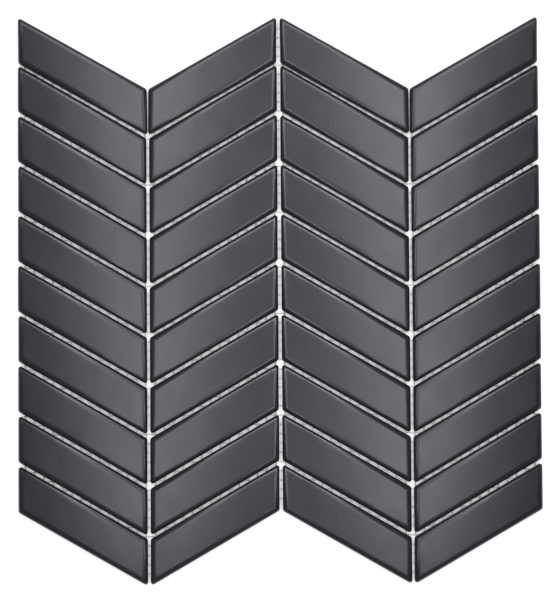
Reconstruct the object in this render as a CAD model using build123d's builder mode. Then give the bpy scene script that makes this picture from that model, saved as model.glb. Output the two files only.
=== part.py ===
from build123d import *
import math
import os
import random

# Chevron mosaic sheet: pressed porcelain chips laid on an open mesh of coated threads.
# Millimetres. X runs across the sheet, Y up it and Z out of the glazed face.
# The underside of the mesh lies at Z = 0.

# Layout of the sheet
columns = 4
rows = 10
column_joint = 1.45
middle_joint = 1.8
first_row_joint = 1.3
row_joint = 1.8

# One chip
chip_width = 69.3
chip_side = 25.2
chip_slant = 30
chip_thickness = 6.0
blunt_corner_radius = 1.9
cushion_radius = 1.15
cushion_flats = 4
wall_draft = 1.5

# Keyed back of a chip: long shallow pockets between lands
pockets = 3
pocket_depth = 0.6
pocket_land = 2.6
pocket_edge = 3.4
pocket_flare = 30

# Chips are set by hand, so each lies a little off its place
lay_seed = 11
lay_shift = 0.08
lay_turn = 0.1
first_row_turn = 0.45
first_row_draw = 0.55

# Mesh of crossing threads, trimmed inside the zigzag edge of the chips
thread_pitch = 5.0
warp_width = 0.95
weft_width = 0.8
thread_thickness = 0.25
mesh_trim = 2.5
shortest_run = 4.0

# Sizes that follow
slope = math.tan(math.radians(chip_slant))
chip_half = chip_width / 2
chip_rise = chip_half * slope
mesh_thickness = 2 * thread_thickness
sheet_width = columns * chip_width + (columns - 2) * column_joint + middle_joint
row_joints = first_row_joint + (rows - 2) * row_joint
column_height = rows * chip_side + row_joints
sharp_corner_radius = 1.1 * cushion_radius
sharp_corner = 90 - chip_slant
blunt_corner = 90 + chip_slant
trim_up = mesh_trim / math.cos(math.radians(chip_slant))
middle_column = columns // 2
pocket_pitch = (chip_side - 2 * pocket_edge + pocket_land) / pockets
pocket_side = pocket_pitch - pocket_land
pocket_half = chip_half - pocket_edge


def leaning(half_width, side):
    """Corners of an upright-sided parallelogram that leans up to the right."""
    rise = half_width * slope
    return [
        (-half_width, -side / 2 - rise),
        (half_width, -side / 2 + rise),
        (half_width, side / 2 + rise),
        (-half_width, side / 2 - rise),
    ]


def corner_cut(radius, corner):
    """Length taken off both sides of a corner by a flat that just touches its radius."""
    half = math.radians(corner / 2)
    return radius * (1 / math.sin(half) - 1) / math.cos(half)


def cushion_point(step):
    """Inset and height of the cushion edge after some of its flats."""
    angle = math.radians(90 * step / cushion_flats)
    return cushion_radius * (1 - math.cos(angle)), cushion_radius * math.sin(angle)


def column_centre(column):
    """X of a column's middle, with the wider joint left of the middle column."""
    left = -sheet_width / 2 + column * (chip_width + column_joint)
    if column >= middle_column:
        left += middle_joint - column_joint
    return left + chip_half


def row_centre(row):
    """Y of a row's middle, from the top, with a tight joint below the first row."""
    down = chip_side / 2 + row * chip_side
    if row > 0:
        down += first_row_joint + (row - 1) * row_joint
    return column_height / 2 - down


def zigzag(x):
    """Height of the sheet's zigzag middle line at x: down, up, down and up again."""
    column = 0
    while column < columns - 1 and x > column_centre(column) + chip_half:
        column += 1
    run = min(max(x - column_centre(column), -chip_half), chip_half)
    return run * slope if column % 2 else -run * slope


def weft_runs(y):
    """Start and end in x of each length of a crosswise thread that the chips cover."""
    reach = column_height / 2 - trim_up
    runs = []
    for column in range(columns):
        centre = column_centre(column)
        lean = 1 if column % 2 else -1
        ends = sorted([lean * (y - reach) / slope, lean * (y + reach) / slope])
        start = centre + max(ends[0], -chip_half)
        end = centre + min(ends[1], chip_half)
        if start >= end:
            continue
        joins = runs and start - runs[-1][1] < max(column_joint, middle_joint) + 0.01
        if joins:
            runs[-1][1] = end
        else:
            runs.append([start, end])
    edge = sheet_width / 2 - mesh_trim
    runs = [[max(start, -edge), min(end, edge)] for start, end in runs]
    return [run for run in runs if run[1] - run[0] > shortest_run]


os.makedirs("parts", exist_ok=True)

# The chip that leans up to the right
with BuildPart() as rising_chip:
    with BuildSketch(Plane.XY.offset(chip_thickness - cushion_radius)) as shoulder:
        Polygon(*leaning(chip_half, chip_side), align=None)
        # Sharp corners lie furthest up and down the chip, and are rounded by three flats
        corners = shoulder.vertices().sort_by(lambda corner: abs(corner.Y))
        chamfer(corners[2:], corner_cut(sharp_corner_radius, sharp_corner))
        corners = shoulder.vertices().sort_by(lambda corner: abs(corner.Y))
        half_turned = 90 + sharp_corner / 2
        chamfer(corners[2:], corner_cut(sharp_corner_radius, half_turned))
        # Blunt corners by one flat
        corners = shoulder.vertices().sort_by(lambda corner: abs(corner.Y))
        chamfer(corners[:2], corner_cut(blunt_corner_radius, blunt_corner))
    # The walls draw in towards the back
    extrude(amount=cushion_radius - chip_thickness, taper=wall_draft)
    # The pressed cushion edge rolls over from the walls to the face
    for step in range(cushion_flats):
        inset, height = cushion_point(step)
        next_inset, next_height = cushion_point(step + 1)
        lean_in = math.degrees(math.atan2(next_inset - inset, next_height - height))
        top = rising_chip.faces().sort_by(Axis.Z)[-1]
        extrude(top, amount=next_height - height, taper=lean_in)
    # Pockets run along the back
    with BuildSketch():
        with GridLocations(0, pocket_pitch, 1, pockets):
            Polygon(*leaning(pocket_half, pocket_side), align=None)
    extrude(amount=pocket_depth, taper=pocket_flare, mode=Mode.SUBTRACT)

# Its handed twin, which leans down to the right
with BuildPart() as falling_chip:
    mirror(rising_chip.part, about=Plane.YZ)

# Chips in their places, from the top of each column
lay = random.Random(lay_seed)
for column in range(columns):
    pressed = rising_chip if column % 2 else falling_chip
    for row in range(rows):
        place_x = column_centre(column) + lay.uniform(-lay_shift, lay_shift)
        place_y = row_centre(row) + lay.uniform(-lay_shift, lay_shift)
        turn = lay.uniform(-lay_turn, lay_turn)
        # The first row lies a little flatter, and its chips are drawn together in pairs
        if row == 0:
            lean = -1 if column % 2 else 1
            turn += lean * first_row_turn
            place_x += lean * first_row_draw / 2
        with BuildPart() as chip:
            with Locations(Location((place_x, place_y, mesh_thickness), (0, 0, turn))):
                add(pressed.part)
        name = f"chip_c{column + 1}_r{row + 1:02d}"
        chip.part.label = name
        export_step(chip.part, f"parts/{name}.step")

# Lengthwise threads, the lower layer of the mesh
warp_count = int(((sheet_width - 2 * mesh_trim) / thread_pitch + 1) / 2) * 2
with BuildPart() as mesh_warp_threads:
    for thread in range(warp_count):
        x = (thread - (warp_count - 1) / 2) * thread_pitch
        length = column_height - 2 * trim_up
        with Locations((x, zigzag(x), thread_thickness / 2)):
            Box(warp_width, length, thread_thickness)
mesh_warp_threads.part.label = "mesh_warp_threads"
export_step(mesh_warp_threads.part, "parts/mesh_warp_threads.step")

# Crosswise threads, laid over them and bonded to the chips
sheet_reach = column_height / 2 + chip_rise
weft_count = int(sheet_reach / thread_pitch) * 2
with BuildPart() as mesh_weft_threads:
    for thread in range(weft_count):
        y = (thread - (weft_count - 1) / 2) * thread_pitch
        for start, end in weft_runs(y):
            with Locations(((start + end) / 2, y, 1.5 * thread_thickness)):
                Box(end - start, weft_width, thread_thickness)
mesh_weft_threads.part.label = "mesh_weft_threads"
export_step(mesh_weft_threads.part, "parts/mesh_weft_threads.step")
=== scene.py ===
# Chevron mosaic sheet: pressed chips in matte black glaze on an open mesh of coated white yarn.
# Metres, in the frame of the CAD: X across the sheet, Y up it and Z out of the glazed face.

import math
import random

import bmesh
import bpy
from mathutils import Matrix, Vector
from mathutils.geometry import intersect_line_line


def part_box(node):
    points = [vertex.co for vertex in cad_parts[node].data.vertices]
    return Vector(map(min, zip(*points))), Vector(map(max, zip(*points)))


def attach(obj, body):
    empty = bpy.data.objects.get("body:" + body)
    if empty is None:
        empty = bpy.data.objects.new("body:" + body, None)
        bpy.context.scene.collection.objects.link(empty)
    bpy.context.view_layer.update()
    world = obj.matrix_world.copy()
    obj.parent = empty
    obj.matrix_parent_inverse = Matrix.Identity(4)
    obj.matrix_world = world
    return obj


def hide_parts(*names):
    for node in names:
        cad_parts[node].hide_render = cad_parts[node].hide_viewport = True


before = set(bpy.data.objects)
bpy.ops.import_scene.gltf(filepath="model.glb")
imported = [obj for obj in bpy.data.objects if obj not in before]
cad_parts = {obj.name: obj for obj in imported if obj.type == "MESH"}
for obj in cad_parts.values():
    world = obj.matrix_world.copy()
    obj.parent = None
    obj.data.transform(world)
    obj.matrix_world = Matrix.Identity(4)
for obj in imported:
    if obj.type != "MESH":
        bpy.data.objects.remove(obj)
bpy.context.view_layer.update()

MM = 0.001
SAME_PLACE = 0.002 * MM  # corners of a CAD mesh that are nearer than this are one

# Chip: a small round lip on top of the walls, then a cushion edge that eases into the flat face
CHIP_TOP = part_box("chip_c1_r01")[1].z
LIP_RADIUS = 0.25 * MM
LIP_TURN = math.radians(35)
LIP_STEPS = 2
CUSHION_RUN = 3.60 * MM
CUSHION_POWER = 3.0
CUSHION_STEPS = 14
LIP_RISE = LIP_RADIUS * math.sin(LIP_TURN)
CUSHION_RISE = CUSHION_RUN / CUSHION_POWER / math.tan(LIP_TURN)
ROLL_START = CHIP_TOP - LIP_RISE - CUSHION_RISE

# Corners of a chip: cut by short flats in the CAD, rounded here, and closed to a point further in
LONG_EDGE = 3 * MM  # the sides of a chip and the height of its walls are longer
CORNER_FLAT = 1.2 * MM  # the flats of a corner are shorter
CORNER_ROUND = 0.22 * MM
CORNER_REACH = 1.20 * MM
FLAT_ENOUGH = math.radians(0.6)
SHARP_EDGE = math.radians(40)

# Mesh: twisted pairs of warp yarn grip flat weft yarns, all inside the two layers of CAD threads
PITCH = 5.0 * MM
MESH_REACH = 33  # pitches from the middle of a long yarn to each end
MESH_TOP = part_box("mesh_weft_threads")[1].z
TWIST_STEPS = 4
TWIST_OUT, TWIST_UP = 0.21 * MM, 0.14 * MM
WARP_HALF_WIDTH, WARP_HALF_HEIGHT, WARP_SIDES = 0.18 * MM, 0.105 * MM, 5
WEFT_HALF_WIDTH, WEFT_HALF_HEIGHT, WEFT_SIDES = 0.29 * MM, 0.115 * MM, 6
WEFT_SWAY, SWAY_TURN = 0.035 * MM, 1.7

# Colours of the glaze, the porcelain under it, what clings to its back, and the yarn
GLAZE_DARK, GLAZE_PALE = (0.0128, 0.0120, 0.0152), (0.0175, 0.0165, 0.0203)
GLAZE_OVERFIRED = (0.0195, 0.0183, 0.0222)
BODY_DARK, BODY_PALE = (0.062, 0.060, 0.058), (0.135, 0.130, 0.125)
KILN_WASH = (0.42, 0.41, 0.39)
DRIED_GLUE = (0.55, 0.54, 0.50)
YARN_DULL, YARN_WHITE = (0.89, 0.87, 0.90), (0.96, 0.945, 0.97)
YARN_FURROW = (0.74, 0.725, 0.75)

# Camera, in the photograph's frame
PHOTO_WIDTH = 556
FOCAL_PIXELS = 2500
SENSOR_WIDTH = 36


class Nodes:
    """Short calls for the node tree of one material or world."""

    def __init__(self, tree):
        self.tree = tree
        tree.nodes.clear()

    def put(self, socket, value):
        """Links a node's output to a socket, or sets the socket to a number or colour."""
        if isinstance(value, bpy.types.NodeSocket):
            self.tree.links.new(value, socket)
        else:
            socket.default_value = value

    def add(self, kind, settings=None, **inputs):
        """A node with its settings, and its inputs by name, or by number as i0, i1 and so on."""
        node = self.tree.nodes.new(kind)
        for key, value in (settings or {}).items():
            setattr(node, key, value)
        for key, value in inputs.items():
            numbered = key[0] == "i" and key[1:].isdigit()
            self.put(node.inputs[int(key[1:]) if numbered else key.replace("_", " ")], value)
        return node

    def math(self, operation, a, b):
        return self.add("ShaderNodeMath", {"operation": operation}, i0=a, i1=b).outputs[0]

    def noise(self, vector, scale, detail, roughness=0.5, batch=None):
        """A noise in space, which starts elsewhere for every batch when one is given."""
        inputs = {"Vector": vector, "Scale": scale, "Detail": detail, "Roughness": roughness}
        if batch is not None:
            inputs["W"] = batch
        settings = {"noise_dimensions": "3D" if batch is None else "4D"}
        return self.add("ShaderNodeTexNoise", settings, **inputs).outputs[0]

    def waver(self, vector, scale, detail, roughness, reach):
        """A noise that wavers about zero, by half its reach each way at most."""
        centred = self.math("SUBTRACT", self.noise(vector, scale, detail, roughness), 0.5)
        return self.math("MULTIPLY", centred, reach)

    def spread(self, value, low, high, to_low=0.0, to_high=1.0, smooth=True):
        """Turns the range from low to high into the range from to_low to to_high."""
        settings = {"interpolation_type": "SMOOTHSTEP" if smooth else "LINEAR"}
        ranges = {"i1": low, "i2": high, "i3": to_low, "i4": to_high}
        return self.add("ShaderNodeMapRange", settings, i0=value, **ranges).outputs[0]

    def mix(self, factor, a, b):
        """Colour a where the factor is 0, and colour b where it is 1."""
        node = self.add("ShaderNodeMix", {"data_type": "RGBA"}, i0=factor)
        for index, colour in ((6, a), (7, b)):
            self.put(node.inputs[index], (*colour, 1.0) if isinstance(colour, tuple) else colour)
        return node.outputs[2]

    def bump(self, height, distance, under=None):
        """Relief of a given height, on top of the relief under it."""
        inputs = {"Height": height, "Distance": distance}
        if under is not None:
            inputs["Normal"] = under
        return self.add("ShaderNodeBump", **inputs).outputs[0]


def material(name):
    made = bpy.data.materials.new(name)
    made.use_nodes = True
    return made, Nodes(made.node_tree)


def as_mesh(bm, name):
    """A mesh made from a bmesh, which is freed."""
    mesh = bpy.data.meshes.new(name)
    bm.to_mesh(mesh)
    bm.free()
    return mesh


def in_scene(name, data):
    """An object that shows a mesh, lamp or camera, at the origin."""
    made = bpy.data.objects.new(name, data)
    bpy.context.scene.collection.objects.link(made)
    return made


def glaze_colour(n, place, batch):
    """Near black with soft clouds and a fine matte grain, and for each chip a little its own."""
    clouds = n.noise(place, 55.0, 4.0, 0.6, batch)
    grain = n.noise(place, 2600.0, 3.0, 0.6)
    shade = n.math("ADD", n.math("MULTIPLY", clouds, 0.6), n.math("MULTIPLY", grain, 0.4))
    glaze = n.mix(n.spread(shade, 0.35, 0.68), GLAZE_DARK, GLAZE_PALE)
    fired = n.spread(batch, 0.0, 1.0, 0.0, 0.35, smooth=False)
    return n.mix(fired, glaze, GLAZE_OVERFIRED)


def glue_marks(n, place, height):
    """How much glue has dried on the back of a chip, along the threads of the mesh."""
    split = n.add("ShaderNodeSeparateXYZ", i0=place)
    # Threads lie half a pitch off the middle, and whole pitches are added to stay above zero
    shift = PITCH / 2 + 200 * PITCH
    across, along = [
        n.math("PINGPONG", n.math("ADD", split.outputs[axis], shift), PITCH / 2) for axis in (0, 1)
    ]
    wobble = n.waver(place, 320.0, 3.0, 0.6, 2.2 * MM)
    from_thread = n.math("ADD", n.math("MINIMUM", across, along), wobble)
    near_thread = n.spread(from_thread, 0.9 * MM, 0.4 * MM)
    return n.math("MULTIPLY", near_thread, n.spread(height, 0.9 * MM, 0.7 * MM))


def body_colour(n, place, batch, height, sand, glue):
    """Sandy charcoal porcelain, its back dusted with pale kiln wash and marked with milky glue."""
    body = n.mix(n.spread(sand, 0.35, 0.7), BODY_DARK, BODY_PALE)
    patches = n.spread(n.noise(place, 140.0, 5.0, 0.65, batch), 0.46, 0.72)
    dust = n.math("MULTIPLY", patches, n.spread(height, 0.9 * MM, 0.6 * MM))
    body = n.mix(n.math("MULTIPLY", dust, 0.55), body, KILN_WASH)
    return n.mix(n.math("MULTIPLY", glue, 0.7), body, DRIED_GLUE)


def chip_glaze():
    """Matte black glaze over a porcelain body that shows low on the walls and on the back."""
    made, n = material("matte_black_glaze")
    place = n.add("ShaderNodeTexCoord").outputs["Object"]
    height = n.add("ShaderNodeSeparateXYZ", i0=place).outputs[2]
    batch = n.add("ShaderNodeAttribute", {"attribute_name": "firing"}).outputs["Fac"]

    # The glaze stops in a ragged line low on the walls
    line = n.math("ADD", height, n.waver(place, 900.0, 2.0, 0.5, 1.6 * MM))
    glazed = n.spread(line, 1.3 * MM, 1.7 * MM)
    bare = n.math("SUBTRACT", 1.0, glazed)

    sand = n.noise(place, 1700.0, 4.0, 0.7)
    glue = glue_marks(n, place, height)
    body = body_colour(n, place, batch, height, sand, glue)
    colour = n.mix(glazed, body, glaze_colour(n, place, batch))

    silk = n.spread(n.noise(place, 70.0, 2.0, 0.5, batch), 0.3, 0.7, 0.243, 0.273)
    dull = n.spread(glue, 0.0, 1.0, 0.88, 0.42)
    rough = n.math("ADD", n.math("MULTIPLY", glazed, silk), n.math("MULTIPLY", bare, dull))

    # Relief: slow waves of the pressed face, the peel of the glaze, and sand, faint under the glaze
    waves = n.bump(n.noise(place, 26.0, 3.0, 0.5, batch), 0.26 * MM)
    peel = n.bump(n.noise(place, 850.0, 3.0, 0.65), 0.034 * MM, waves)
    felt = n.spread(glazed, 0.0, 1.0, 1.0, 0.14)
    relief = n.bump(n.math("MULTIPLY", sand, felt), 0.06 * MM, peel)
    surface = n.add("ShaderNodeBsdfPrincipled", Base_Color=colour, Roughness=rough, Normal=relief,
                    IOR=1.52, Specular_Tint=(0.94, 0.905, 0.985, 1.0))
    n.add("ShaderNodeOutputMaterial", Surface=surface.outputs[0])
    return made


def mesh_yarn():
    """White glass yarn in a milky latex coat, with fine filaments that furrow it."""
    made, n = material("coated_white_yarn")
    place = n.add("ShaderNodeTexCoord").outputs["Object"]
    furrows = n.add("ShaderNodeTexWave", {"bands_direction": "DIAGONAL"}, Vector=place,
                    Scale=900.0, Distortion=3.0, Detail=2.0).outputs[1]
    cloud = n.noise(place, 260.0, 3.0, 0.6)
    colour = n.mix(n.spread(cloud, 0.35, 0.7), YARN_DULL, YARN_WHITE)
    colour = n.mix(n.math("MULTIPLY", furrows, 0.25), colour, YARN_FURROW)
    rough = n.spread(cloud, 0.3, 0.7, 0.5, 0.72)
    relief = n.bump(furrows, 0.03 * MM)
    surface = n.add("ShaderNodeBsdfPrincipled", Base_Color=colour, Roughness=rough, Normal=relief,
                    IOR=1.47)
    n.add("ShaderNodeOutputMaterial", Surface=surface.outputs[0])
    return made


def edge_profile():
    """Inset and height of each ring from the top of the walls to the flat of the face."""
    rings = []
    for step in range(1, LIP_STEPS + 1):
        turned = LIP_TURN * step / LIP_STEPS
        rings.append((LIP_RADIUS * (1 - math.cos(turned)), LIP_RADIUS * math.sin(turned)))
    lip_inset = rings[-1][0]
    for step in range(1, CUSHION_STEPS + 1):
        across = step / CUSHION_STEPS
        eased = 1 - (1 - across) ** CUSHION_POWER
        rings.append((lip_inset + CUSHION_RUN * across, LIP_RISE + CUSHION_RISE * eased))
    return rings


def walls_and_back(node):
    """The node's own walls and keyed back, closed where its top edge starts to roll over."""
    bm = bmesh.new()
    bm.from_mesh(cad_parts[node].data)
    bmesh.ops.remove_doubles(bm, verts=bm.verts, dist=SAME_PLACE)
    bmesh.ops.bisect_plane(bm, geom=bm.verts[:] + bm.edges[:] + bm.faces[:], clear_outer=True,
                           plane_co=(0, 0, ROLL_START), plane_no=(0, 0, 1))
    bmesh.ops.dissolve_limit(bm, angle_limit=FLAT_ENOUGH, verts=bm.verts, edges=bm.edges)
    bmesh.ops.contextual_create(bm, geom=[edge for edge in bm.edges if edge.is_boundary])

    # The flats at the corners become round
    upright = [e for e in bm.edges if abs(e.verts[0].co.z - e.verts[1].co.z) > LONG_EDGE]
    bmesh.ops.bevel(bm, geom=upright, offset=CORNER_ROUND, offset_type="OFFSET", segments=2,
                    profile=0.5, affect="EDGES", material=-1)
    return bm


def sharpen_corners(bm, top):
    """Closes each rounded corner of the top face to the point where its two long sides meet."""
    long_edges = [edge for edge in top.edges if edge.calc_length() > LONG_EDGE]
    sides = [[vert.co.copy() for vert in edge.verts] for edge in long_edges]
    bmesh.ops.collapse(bm, edges=[e for e in top.edges if e.calc_length() < CORNER_FLAT])
    top = max(bm.faces, key=lambda face: (round(face.calc_center_median().z, 6), face.calc_area()))
    for vert in top.verts:
        near = sorted(sides, key=lambda side: min((end - vert.co).length for end in side))[:2]
        vert.co = intersect_line_line(*near[0], *near[1])[0]
    return top


def pressed_chip(node, firing, glaze):
    """A chip with its own walls and back, a lip, a cushion edge and a flat face."""
    bm = walls_and_back(node)
    top = max(bm.faces, key=lambda face: face.calc_center_median().z)
    inset, height = 0.0, 0.0
    for next_inset, next_height in edge_profile():
        if inset < CORNER_REACH <= next_inset:
            top = sharpen_corners(bm, top)
        bmesh.ops.inset_region(bm, faces=[top], thickness=next_inset - inset,
                               depth=next_height - height, use_even_offset=True, use_boundary=True)
        inset, height = next_inset, next_height
    for face in bm.faces:
        face.smooth = True

    mesh = as_mesh(bm, node + "_pressed")
    mesh.set_sharp_from_angle(angle=SHARP_EDGE)
    batch = mesh.attributes.new("firing", "FLOAT", "POINT")
    batch.data.foreach_set("value", [firing] * len(mesh.vertices))
    mesh.materials.append(glaze)
    chip = in_scene(node + "_pressed", mesh)
    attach(chip, "root")
    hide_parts(node)


def thread_boxes(node):
    """Lowest and highest corner of each thread of a CAD mesh layer."""
    bm = bmesh.new()
    bm.from_mesh(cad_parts[node].data)
    bmesh.ops.remove_doubles(bm, verts=bm.verts, dist=SAME_PLACE)
    boxes, seen = [], set()
    for start in bm.verts:
        if start in seen:
            continue
        seen.add(start)
        corners, waiting = [], [start]
        while waiting:
            vert = waiting.pop()
            corners.append(vert.co.copy())
            for edge in vert.link_edges:
                other = edge.other_vert(vert)
                if other not in seen:
                    seen.add(other)
                    waiting.append(other)
        low = Vector([min(corner[axis] for corner in corners) for axis in range(3)])
        high = Vector([max(corner[axis] for corner in corners) for axis in range(3)])
        boxes.append((low, high))
    bm.free()
    return boxes


def draw_yarn(bm, path, half_width, half_height, sides):
    """Draws a flattened yarn along Y: a ring with a few sides, extruded along its path."""
    ring = bmesh.ops.create_circle(bm, segments=sides, radius=1.0)["verts"]
    flatten = Matrix.Diagonal((half_width, 1.0, half_height, 1.0))
    face_along = Matrix.Rotation(math.radians(90), 4, "X")
    to_start = Matrix.Translation(path[0]) @ flatten @ face_along
    bmesh.ops.transform(bm, matrix=to_start, verts=ring)
    edges = list(dict.fromkeys(edge for vert in ring for edge in vert.link_edges))
    for here, there in zip(path, path[1:]):
        grown = bmesh.ops.extrude_edge_only(bm, edges=edges)["geom"]
        verts = [item for item in grown if isinstance(item, bmesh.types.BMVert)]
        edges = [item for item in grown if isinstance(item, bmesh.types.BMEdge)]
        bmesh.ops.translate(bm, verts=verts, vec=there - here)


def warp_pair():
    """Two yarns that twist round each other, by half a turn between one weft and the next."""
    bm = bmesh.new()
    for first_turn in (0.0, math.pi):
        path = []
        for step in range(-MESH_REACH * TWIST_STEPS, MESH_REACH * TWIST_STEPS + 1):
            turn = math.pi * (step / TWIST_STEPS + 0.5) + first_turn
            along = step * PITCH / TWIST_STEPS + PITCH / 2
            up = MESH_TOP / 2 + TWIST_UP * math.sin(turn)
            path.append(Vector((TWIST_OUT * math.cos(turn), along, up)))
        draw_yarn(bm, path, WARP_HALF_WIDTH, WARP_HALF_HEIGHT, WARP_SIDES)
    return as_mesh(bm, "warp_pair")


def weft_single():
    """One flat yarn that sways a little between one warp pair and the next."""
    bm = bmesh.new()
    path = []
    for step in range(-2 * MESH_REACH, 2 * MESH_REACH + 1):
        sway = WEFT_SWAY * math.sin(SWAY_TURN * step) if step % 2 else 0.0
        path.append(Vector((sway, step * PITCH / 2, MESH_TOP / 2)))
    draw_yarn(bm, path, WEFT_HALF_WIDTH, WEFT_HALF_HEIGHT, WEFT_SIDES)
    return as_mesh(bm, "weft_single")


def cut_to_length(bm, low, high):
    """Trims a yarn drawn along Y and closes its ends."""
    for place, outwards in ((low, -1), (high, 1)):
        bmesh.ops.bisect_plane(bm, geom=bm.verts[:] + bm.edges[:] + bm.faces[:], clear_outer=True,
                               plane_co=(0, place, 0), plane_no=(0, outwards, 0))
    bmesh.ops.holes_fill(bm, edges=[edge for edge in bm.edges if edge.is_boundary], sides=0)
    bmesh.ops.recalc_face_normals(bm, faces=bm.faces)


def lay_yarns(name, pattern, threads, node, crosswise, coat):
    """Copies one long yarn pattern to the place of every thread, cut to that thread's length."""
    layer = bmesh.new()
    for low, high in threads:
        one = bmesh.new()
        one.from_mesh(pattern)
        if crosswise:
            cut_to_length(one, low.x, high.x)
            turn = Matrix.Rotation(math.radians(-90), 4, "Z")
            to_thread = Matrix.Translation((0, (low.y + high.y) / 2, 0)) @ turn
        else:
            cut_to_length(one, low.y, high.y)
            to_thread = Matrix.Translation(((low.x + high.x) / 2, 0, 0))
        bmesh.ops.transform(one, matrix=to_thread, verts=one.verts)
        piece = as_mesh(one, "one_yarn")
        layer.from_mesh(piece)
        bpy.data.meshes.remove(piece)
    for face in layer.faces:
        face.smooth = True
    mesh = as_mesh(layer, name)
    mesh.materials.append(coat)
    laid = in_scene(name, mesh)
    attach(laid, "root")
    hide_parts(node)


def leno_mesh(coat):
    """Twisted warp pairs, in a left and a right half, and the flat wefts that they grip."""
    pair, single = warp_pair(), weft_single()
    warps, wefts = thread_boxes("mesh_warp_threads"), thread_boxes("mesh_weft_threads")
    left = [box for box in warps if box[1].x < 0]
    right = [box for box in warps if box[1].x >= 0]
    lay_yarns("warp_yarns_left", pair, left, "mesh_warp_threads", False, coat)
    lay_yarns("warp_yarns_right", pair, right, "mesh_warp_threads", False, coat)
    lay_yarns("weft_yarns", single, wefts, "mesh_weft_threads", True, coat)
    bpy.data.meshes.remove(pair)
    bpy.data.meshes.remove(single)


def floor():
    """A floor that is white to the camera, with painted shade from ambient occlusion that greys it
    in narrow joints and beside the sheet, and a matte part that keeps the real shadow.
    """
    made, n = material("pale_floor")
    path = n.add("ShaderNodeLightPath")
    seen = n.math("MAXIMUM", path.outputs["Is Camera Ray"], path.outputs["Is Glossy Ray"])
    seen = n.math("MAXIMUM", seen, path.outputs["Is Transmission Ray"])
    open_sky = n.add("ShaderNodeAmbientOcclusion", {"samples": 8}, Distance=4.5 * MM).outputs["AO"]
    # Painted shade: the glow seen by camera, glossy and transmission rays is dimmed by ambient
    # occlusion, so the floor in the joints and next to the sheet looks shaded
    glow_with_painted_shade = n.math("MULTIPLY", seen, n.spread(open_sky, 0.0, 0.78, 0.21, 0.95, smooth=False))
    glow = n.add("ShaderNodeEmission", Color=(1.0, 0.972, 1.0, 1), Strength=glow_with_painted_shade)
    matte = n.add("ShaderNodeBsdfDiffuse", Color=(0.5, 0.5, 0.5, 1))
    both = n.add("ShaderNodeAddShader", i0=glow.outputs[0], i1=matte.outputs[0])
    n.add("ShaderNodeOutputMaterial", Surface=both.outputs[0])

    bm = bmesh.new()
    bmesh.ops.create_grid(bm, x_segments=1, y_segments=1, size=3.0)
    bmesh.ops.translate(bm, verts=bm.verts, vec=(0, 0, -0.05 * MM))
    mesh = as_mesh(bm, "floor")
    mesh.materials.append(made)
    in_scene("floor", mesh)


def soft_lamp(name, place, width, length, brightness, aim=None):
    """An area lamp of a given brightness per area, so that its size can change alone."""
    lamp = bpy.data.lights.new(name, "AREA")
    lamp.shape = "RECTANGLE"
    lamp.size, lamp.size_y = width, length
    lamp.energy = brightness * math.pi * width * length
    holder = in_scene(name, lamp)
    holder.location = place
    if aim is not None:
        to_aim = Vector(aim) - Vector(place)
        holder.rotation_euler = to_aim.to_track_quat("-Z", "Y").to_euler()
    holder.visible_camera = False


def studio():
    """Strips of soft light, a faint panel between them and a wide lamp low beyond the top."""
    soft_lamp("left_strip", (-0.081, -0.03, 0.35), width=0.046, length=0.28, brightness=7.35)
    soft_lamp("right_strip", (0.094, -0.03, 0.35), width=0.046, length=0.28, brightness=7.9)
    soft_lamp("left_far_strip", (-0.081, 0.18, 0.35), width=0.046, length=0.14, brightness=8.3)
    soft_lamp("right_far_strip", (0.094, 0.18, 0.35), width=0.046, length=0.14, brightness=9.0)
    soft_lamp("middle_panel", (0.007, 0.05, 0.351), width=0.11, length=0.50, brightness=0.40)
    soft_lamp("far_lamp", (0.0, 1.20, 2.08), width=1.7, length=0.5, brightness=7.0, aim=(0, 0, 0))

    # The room is dim, but white to the camera
    world = bpy.data.worlds.new("studio")
    bpy.context.scene.world = world
    world.use_nodes = True
    n = Nodes(world.node_tree)
    to_camera = n.add("ShaderNodeLightPath").outputs["Is Camera Ray"]
    bright = n.math("ADD", n.math("MULTIPLY", to_camera, 0.8), 0.2)
    back = n.add("ShaderNodeBackground", Color=(1, 1, 1, 1), Strength=bright)
    n.add("ShaderNodeOutputWorld", Surface=back.outputs[0])


def camera():
    """Nearly straight down, from a little below and left of the sheet's middle."""
    eye = Vector((-0.0301, -0.0645, 1.3520))
    target = Vector((-0.00105, -0.00060, 0.0065))
    turn = math.radians(0.376)
    back = (eye - target).normalized()
    across = Vector((math.sin(turn), math.cos(turn), 0)).cross(back).normalized()
    up = back.cross(across)
    lens = bpy.data.cameras.new("camera")
    lens.sensor_fit = "HORIZONTAL"
    lens.sensor_width = SENSOR_WIDTH
    lens.lens = FOCAL_PIXELS / PHOTO_WIDTH * SENSOR_WIDTH
    view = in_scene("camera", lens)
    view.matrix_world = Matrix.Translation(eye) @ Matrix((across, up, back)).transposed().to_4x4()
    bpy.context.scene.camera = view


glaze = chip_glaze()
kiln = random.Random(5)
for node in sorted(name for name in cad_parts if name.startswith("chip_")):
    pressed_chip(node, kiln.random(), glaze)
leno_mesh(mesh_yarn())
floor()
studio()
camera()
bpy.context.scene.view_settings.view_transform = "Standard"
